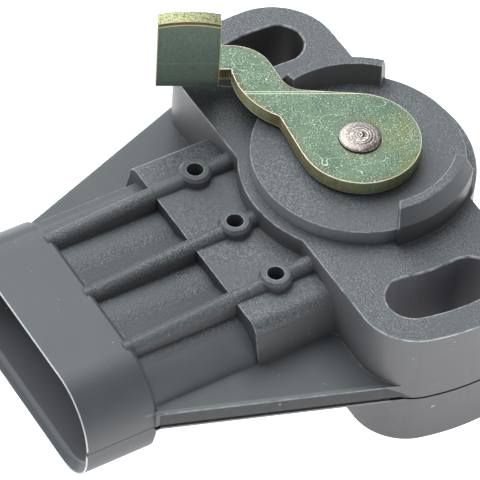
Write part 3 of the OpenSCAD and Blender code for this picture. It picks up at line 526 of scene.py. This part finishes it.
class SENSOR_OT_finish_lever(bpy.types.Operator):
    """Give the lever its yellow-green passivated zinc, with tinted edges, painted edge highlights, specks and
    scratches
    """

    bl_idname = "sensor.finish_lever"
    bl_label = "Finish lever"

    def execute(self, context):
        look = context.scene.sensor_lever
        f = Finish("passivated_steel")
        m = self.masks(f)
        colour = self.tints(f, m, look)
        colour = self.sides(f, m, colour)
        colour = self.marks(f, m, colour)
        colour = self.lines(f, m, colour)
        # Painted highlight along the lever's outer edges, warm or cool in patches.
        edge = f.rims(0.16, 0.14, 0.36)
        edge_highlight = f.mix(f.step(m.frost, 0.4, 0.6), PLATING.warm_edge, PLATING.cool_edge)
        colour = f.mix(edge * 0.9, colour, edge_highlight)
        crown = f.step(m.height, TAB_TOP_MM - 1.47, TAB_TOP_MM - 1.17) * m.top
        pale = f.mix(f.specks(7.0, 0.36, 0.5, shift=21.0), PLATING.crown_dark, PLATING.crown_pale)
        colour = f.mix(crown * 0.9, colour, pale)
        rough = 0.38 + m.cloud * 0.12 + m.speck * 0.1 + m.pits * 0.1 - edge * 0.08
        normal = f.bump(m.cloud * 0.5 + f.noise(2.5, 3.0, shift=77.0) * 0.5, 0.03, 0.35, f.rounded(0.1))
        normal = f.bump(m.speck - m.pits + m.scratch, 0.012, 0.5, normal)
        paint(f.close(colour, rough, 0.75, normal), "lever")
        return {"FINISHED"}

    @staticmethod
    def masks(f):
        """Where the faces lie, along and across the lever, and the noises that several steps share."""
        cosine, sine = math.cos(LEVER_DIR), math.sin(LEVER_DIR)
        m = SimpleNamespace(across=f.y * cosine - f.x * sine, along=f.x * cosine + f.y * sine)
        m.height = f.z - LEVER_TOP_MM
        m.top = f.step(f.up, 0.7, 0.9)
        m.cloud = f.noise(0.35, 2.0, shift=6.0, warp=0.4)
        m.frost = f.noise(0.5, 2.0, shift=27.0)
        side = 1.0 - f.step(abs(f.up), 0.2, 0.5)
        foot = f.step(m.along, -14.2, -14.4) * f.step(f.ny * cosine - f.nx * sine, -0.4, -0.7)
        m.tab = f.most(f.step(m.height, 0.9, 1.4) * side, foot)
        m.sheared = side * f.step(m.tab, 0.9, 0.1)
        return m

    @staticmethod
    def tints(f, m, look):
        """Clouded green, teal patches, gold towards the near edges and brown round the notch."""
        colour = f.mix(m.cloud, [c * 0.75 for c in look.green], [c * 1.15 for c in look.green])
        teal = f.step(f.noise(0.22, shift=41.0), 0.44, 0.62)
        colour = f.mix(teal * 0.4, colour, PLATING.teal)
        out = f.radius()
        near = f.step(m.across, 1.0, -5.5)
        far_round = f.step(f.x * 0.5 + f.y * 0.85, 1.5, 5.0) * f.step(out, 6.6, 6.2)
        ring = f.band(out, HEAD_MM + 0.05, HEAD_MM + 0.75, 0.7)
        gold = f.most(f.rims(1.1, 0.05, 0.5) * (0.4 + near * 0.6), far_round * 0.8, ring * 0.7)
        colour = f.mix(gold * f.step(m.cloud, 0.34, 0.66) * 0.62, colour, look.gold)
        notch = f.band(m.across, -2.0, 8.8, 1.4) * f.step(m.along, -3.6, -5.6)
        patch = f.step(f.noise(0.3, shift=57.0), 0.5, 0.66)
        return f.mix(f.rims(0.8, 0.08, 0.5) * f.most(notch, patch) * 0.7, colour, look.brown)

    @staticmethod
    def sides(f, m, colour):
        """The streaked sheared sides with their pale lower edge, and the tab."""
        streak = f.noise(1.4, 2.0, shift=15.0, stretch=(1.0, 1.0, 0.15))
        brownish = f.mix(streak, PLATING.sheared_brown, PLATING.sheared_tan)
        greenish = f.mix(streak, PLATING.sheared_green, PLATING.sheared_pale)
        sheared = f.mix(f.step(m.cloud, 0.35, 0.65), brownish, greenish)
        colour = f.mix(m.sheared * 0.8, colour, sheared)
        lower_edge = f.band(m.height, -1.62, -1.48, 0.06) * f.step(m.across, 1.5, 3.0)
        colour = f.mix(lower_edge * m.sheared * 0.8, colour, PLATING.lower_edge)
        colour = f.mix(m.tab * 0.85, colour, PLATING.tab)
        return f.mix(f.rims(0.9, 0.16, 0.5) * m.tab * 0.6, colour, PLATING.tab_rim)

    @staticmethod
    def marks(f, m, colour):
        """Pits, pale specks and long curved scratches, strongest on the top."""
        m.speck = f.specks(7.0, 0.63, 0.72, shift=3.0) * f.step(m.frost, 0.36, 0.62)
        m.pits = f.specks(7.0, 0.55, 0.67, shift=61.0)
        loops = f.hairlines(0.2, 0.005, 0.5, shift=5.0, warp=1.0)
        scores = f.hairlines(0.42, 0.006, 0.53, shift=83.0, warp=0.4)
        sparks = f.specks(5.2, 0.72, 0.77, shift=33.0)
        m.scratch = f.most(loops, scores, sparks)
        colour = f.mix(m.pits * (0.3 + m.top * 0.35), colour, PLATING.pit)
        colour = f.mix(m.speck * (0.1 + m.top * 0.6), colour, PLATING.speck)
        return f.mix(m.scratch * (0.12 + m.top * 0.6), colour, PLATING.scratch)

    @staticmethod
    def lines(f, m, colour):
        """Two painted highlight lines along the bend, a painted reflection line across the tab where its bend ends,
        and the lines that follow its bowed top.
        """
        # Painted highlight: two thin light lines along the bend on the top face.
        bend = f.most(f.band(m.across, 6.32, 6.4, 0.04), f.band(m.across, 6.62, 6.7, 0.04))
        colour = f.mix(bend * m.top * f.step(m.height, -1.0, -0.6) * 0.6, colour, PLATING.bend)
        # Painted reflection: a light line across the tab where its bend ends.
        press = f.band(m.height, 2.75, 2.82, 0.05) * m.tab
        colour = f.mix(press * 0.5, colour, PLATING.press)
        offset = m.along - TAB_MIDDLE_MM
        depth = TAB_TOP_MM - m.height - offset * offset * (0.5 / TAB_BOW_MM)
        colour = f.mix(f.band(depth, 0.14, 0.4, 0.06) * m.tab * 0.7, colour, PLATING.bow_shadow)
        return f.mix(f.band(depth, 0.48, 0.58, 0.06) * m.tab * 0.85, colour, PLATING.bow_light)


class SENSOR_OT_finish_shaft(bpy.types.Operator):
    """Give the shaft its bare steel with a spun head, and finish the washers and bush"""

    bl_idname = "sensor.finish_shaft"
    bl_label = "Finish shaft and washers"

    def execute(self, context):
        self.spun_head(context.scene.sensor_metal)
        self.washers_and_bush()
        return {"FINISHED"}

    @staticmethod
    def spun_head(look):
        """Steel with the spinning tool's rings round a small crater, painted glints, painted shadow in the crater,
        painted shade on the side turned from the light, and painted shade on the head's brim.
        """
        f = Finish("spun_steel")
        out = f.radius()
        head = f.step(f.z, LEVER_TOP_MM - 0.1, LEVER_TOP_MM + 0.05)
        cloud = f.noise(1.6, 3.0, shift=5.0)
        colour = f.mix(cloud, [c * 0.55 for c in look.steel], [c * 1.15 for c in look.steel])
        wobble = f.noise(0.9, 2.0, shift=9.0) * 0.12
        rings = f.calc("SINE", (out + wobble) * (2 * math.pi / (look.ring_pitch * 1000)), 0.0)
        spun = f.step(out, 1.7, 1.0) * 0.8 + 0.2
        colour = f.mix(f.step(rings, 0.1, 0.9) * spun * head * 0.65, colour, SPUN.ring)
        colour = f.mix(f.specks(6.0, 0.58, 0.7, shift=2.0) * 0.6, colour, SPUN.fleck)
        glint = f.step(out, 1.2, 0.8) * f.step(f.noise(2.2, 2.0, shift=71.0), 0.5, 0.64)
        colour = f.mix(glint * head * 0.6, colour, SPUN.glint)
        # Painted shadow: a dark crescent inside the crater.
        crater = f.band(out, 0.3, 0.52, 0.1) * f.step(f.x * 0.55 + f.y * 0.83, 0.05, 0.25)
        colour = f.mix(crater * head * 0.8, colour, SPUN.crater)
        # Painted shade on the side of the head turned from the light.
        worn = f.step(f.x + f.y * 0.2, 0.5, 1.7) * f.step(f.noise(2.6, 2.0, shift=63.0), 0.4, 0.6)
        colour = f.mix(worn * head * 0.75, colour, SPUN.worn)
        # Pale rims: a painted highlight, partly bare worn metal.
        colour = f.mix(f.rims(**PALE_RIM) * 0.4, colour, SPUN.rim)
        # Painted shade on the head's upright brim, against its reflection.
        brim = f.band(out, HEAD_MM - 0.03, HEAD_MM + 0.25, 0.02) * head
        colour = f.mix(brim * 0.95, colour, SPUN.brim)
        normal = f.bump((1.0 - out / (HEAD_MM + 0.05)) * head, 0.2, 1.0, f.rounded(0.08))
        normal = f.bump((rings * 0.5 + 0.5) * spun, 0.05, 0.85, normal)
        normal = f.bump(f.noise(3.4, 3.0, shift=5.0) * (0.4 + worn), 0.08, 0.7, normal)
        paint(f.close(colour, 0.42 + cloud * 0.16 + brim * 0.4, 1.0 - brim, normal), "shaft")

    @staticmethod
    def washers_and_bush():
        """Steel washers, clip and spring, the bronze bush, and the plastic thrust washer and rotor."""
        f = Finish("washer_steel")
        cloud = f.noise(1.2, 3.0, shift=3.0)
        colour = f.mix(cloud, tone(138, 140, 143), tone(178, 180, 184))
        # Pale rims: a painted highlight, partly bare worn metal.
        colour = f.mix(f.rims(**PALE_RIM) * 0.5, colour, tone(215, 217, 220))
        normal = f.bump(f.noise(2.0, 3.0, shift=1.0, stretch=(1.0, 0.2, 1.0)), 0.02, 0.35, f.rounded(0.06))
        paint(f.close(colour, 0.3 + cloud * 0.15, 1.0, normal), "spring_washer", "rotor_clip", "return_spring")
        f = Finish("sintered_bronze")
        pores = f.specks(4.0, 0.6, 0.72, shift=7.0)
        colour = f.mix(f.noise(0.8, 3.0), tone(150, 118, 74), tone(184, 150, 98))
        colour = f.mix(pores * 0.6, colour, tone(88, 66, 42))
        normal = f.bump(1.0 - pores, 0.03, 0.5, f.rounded(0.08))
        paint(f.close(colour, 0.42 + pores * 0.2, 0.9, normal), "shaft_bush")
        f = Finish("bearing_polymer")
        colour = f.mix(f.noise(0.7, 3.0), tone(196, 192, 178), tone(216, 212, 200))
        normal = f.bump(f.noise(3.0, 2.0), 0.02, 0.3, f.rounded(0.08))
        paint(f.close(colour, 0.48, 0.0, normal, IOR=1.45), "thrust_washer", "rotor")


class SENSOR_OT_finish_terminals(bpy.types.Operator):
    """Finish the three terminals and their contact clips"""

    bl_idname = "sensor.finish_terminals"
    bl_label = "Finish terminals"

    def execute(self, context):
        f = Finish("tinned_brass")
        drawn = f.noise(2.0, 3.0, shift=6.0, stretch=(1.0, 0.12, 1.0))
        cloud = f.noise(0.5, 2.0, shift=12.0)
        colour = f.mix(drawn, tone(176, 172, 160), tone(214, 211, 202))
        colour = f.mix(f.step(cloud, 0.55, 0.75) * 0.4, colour, tone(196, 172, 116))
        # Pale rims: a painted highlight, partly bare worn metal.
        colour = f.mix(f.rims(**PALE_RIM) * 0.5, colour, tone(232, 228, 218))
        normal = f.bump(drawn, 0.02, 0.4, f.rounded(0.08))
        brass = f.close(colour, 0.28 + cloud * 0.12, 1.0, normal)
        paint(brass, "terminal_supply", "terminal_signal", "terminal_ground")
        f = Finish("spring_bronze")
        drawn = f.noise(2.5, 3.0, shift=16.0, stretch=(1.0, 0.2, 1.0))
        colour = f.mix(drawn, tone(188, 148, 84), tone(222, 186, 118))
        normal = f.bump(drawn, 0.015, 0.4, f.rounded(0.05))
        paint(f.close(colour, 0.27, 1.0, normal), "clip_supply", "clip_signal", "clip_ground", "wiper_contact")
        return {"FINISHED"}


class SENSOR_OT_finish_element(bpy.types.Operator):
    """Finish the element card and its two printed tracks"""

    bl_idname = "sensor.finish_element"
    bl_label = "Finish element card"

    def execute(self, context):
        f = Finish("laminate")
        weave = f.noise(4.0, 2.0, shift=6.0, stretch=(1.0, 0.3, 1.0))
        colour = f.mix(weave, tone(112, 84, 54), tone(140, 108, 72))
        paint(f.close(colour, 0.5, 0.0, f.bump(weave, 0.02, 0.3), IOR=1.5), "element_card")
        f = Finish("carbon_ink")
        cloud = f.noise(1.5, 3.0, shift=1.0)
        colour = f.mix(cloud, tone(26, 26, 28), tone(44, 44, 46))
        paint(f.close(colour, 0.42 + cloud * 0.2, 0.0, f.bump(cloud, 0.01, 0.3), IOR=1.5), "resistor_track")
        f = Finish("silver_ink")
        cloud = f.noise(1.5, 3.0, shift=4.0)
        colour = f.mix(cloud, tone(150, 147, 140), tone(190, 187, 180))
        paint(f.close(colour, 0.36 + cloud * 0.2, 0.85, f.bump(cloud, 0.01, 0.3)), "collector_track")
        return {"FINISHED"}


class SENSOR_OT_set_stage(bpy.types.Operator):
    """Lay the pale floor and place the soft lights and the camera"""

    bl_idname = "sensor.set_stage"
    bl_label = "Set stage"

    def execute(self, context):
        look = context.scene.sensor_stage
        self.lay_floor(context, look)
        world = bpy.data.worlds.new("studio")
        context.scene.world = world
        world.use_nodes = True
        ground = world.node_tree.nodes["Background"]
        ground.inputs["Color"].default_value = (0.96, 0.98, 1.0, 1.0)
        ground.inputs["Strength"].default_value = look.sky
        self.soft_light(context, "overhead", (-0.38, -0.02, 0.5), 0.7, look.overhead, (0.965, 0.99, 1.0))
        self.soft_light(context, "beside", (0.5, 0.42, 0.2), 0.35, look.side, (1.0, 0.985, 0.97))
        self.place_camera(context, look)
        context.scene.view_settings.view_transform = "Standard"
        return {"FINISHED"}

    @staticmethod
    def lay_floor(context, look):
        """A wide white table that glows, just under the part."""
        mesh = bpy.data.meshes.new("floor")
        grid = bmesh.new()
        bmesh.ops.create_grid(grid, x_segments=8, y_segments=8, size=4.0)
        bmesh.ops.translate(grid, verts=grid.verts, vec=(0.0, 0.0, CAD_BOX[0].z - 0.0001))
        grid.to_mesh(mesh)
        grid.free()
        floor = bpy.data.objects.new("floor", mesh)
        context.scene.collection.objects.link(floor)
        f = Finish("pale_floor")
        glow = {"Specular_IOR_Level": 0.0, "Emission_Color": (1.0, 1.0, 1.0), "Emission_Strength": look.table}
        mesh.materials.append(f.close(tone(250, 250, 250), 0.8, 0.0, None, **glow))

    @staticmethod
    def place_camera(context, look):
        """The photograph's camera, aimed so that the shaft at the ears' level meets its own pixel."""
        azimuth, elevation = look.azimuth, look.elevation
        level = math.cos(elevation)
        back = Vector((math.sin(azimuth) * level, -math.cos(azimuth) * level, math.sin(elevation)))
        right = Vector((math.cos(azimuth), math.sin(azimuth), 0.0))
        turned = right * math.cos(look.roll) + back.cross(right) * math.sin(look.roll)
        above = back.cross(turned)
        data = bpy.data.cameras.new("camera")
        data.sensor_width = 36.0
        data.lens = FOCAL_PX / PICTURE_PX * data.sensor_width
        data.clip_start, data.clip_end = 0.01, 40.0
        camera = bpy.data.objects.new("camera", data)
        context.scene.collection.objects.link(camera)
        aim = Vector((0.0, 0.0, EAR_TOP_MM / 1000))
        middle = PICTURE_PX / 2
        offset = Vector(((SHAFT_PX[0] - middle) / FOCAL_PX, (middle - SHAFT_PX[1]) / FOCAL_PX, -1.0)) * look.distance
        place = aim - (turned * offset.x + above * offset.y + back * offset.z)
        axes = Matrix((turned, above, back)).transposed().to_4x4()
        camera.matrix_world = Matrix.Translation(place) @ axes
        context.scene.camera = camera

    @staticmethod
    def soft_light(context, name, place, size, power, colour):
        """A square softbox that faces the part and stays out of the picture."""
        data = bpy.data.lights.new(name, "AREA")
        data.size, data.energy, data.color = size, power, colour
        light = bpy.data.objects.new(name, data)
        light.location = place
        light.rotation_mode = "QUATERNION"
        light.rotation_quaternion = (Vector((0.0, -0.01, 0.01)) - Vector(place)).to_track_quat("-Z", "Y")
        light.visible_camera = False
        context.scene.collection.objects.link(light)


STEPS = (
    SENSOR_OT_finish_housing, SENSOR_OT_finish_cover, SENSOR_OT_finish_lever, SENSOR_OT_finish_shaft,
    SENSOR_OT_finish_terminals, SENSOR_OT_finish_element, SENSOR_OT_set_stage,
)
LOOKS = {
    "sensor_housing": HousingLook, "sensor_lever": LeverLook, "sensor_metal": MetalLook, "sensor_stage": StageLook,
}


class SENSOR_PT_finish(bpy.types.Panel):
    """Sizes, colours and steps of the sensor's finish"""

    bl_label = "Sensor finish"
    bl_space_type = "VIEW_3D"
    bl_region_type = "UI"
    bl_category = "Sensor"

    def draw(self, context):
        for name, group in LOOKS.items():
            box = self.layout.box()
            for key in group.__annotations__:
                box.prop(getattr(context.scene, name), key)
        for step in STEPS:
            self.layout.operator(step.bl_idname)


def register():
    for made in (*LOOKS.values(), *STEPS, SENSOR_PT_finish):
        bpy.utils.register_class(made)
    for name, group in LOOKS.items():
        setattr(bpy.types.Scene, name, PointerProperty(type=group))


def unregister():
    for name in LOOKS:
        delattr(bpy.types.Scene, name)
    for made in reversed((*LOOKS.values(), *STEPS, SENSOR_PT_finish)):
        bpy.utils.unregister_class(made)


def main():
    """Registers the classes and runs every step in order."""
    register()
    for step in STEPS:
        group, name = step.bl_idname.split(".")
        getattr(getattr(bpy.ops, group), name)()


if __name__ == "__main__":
    main()
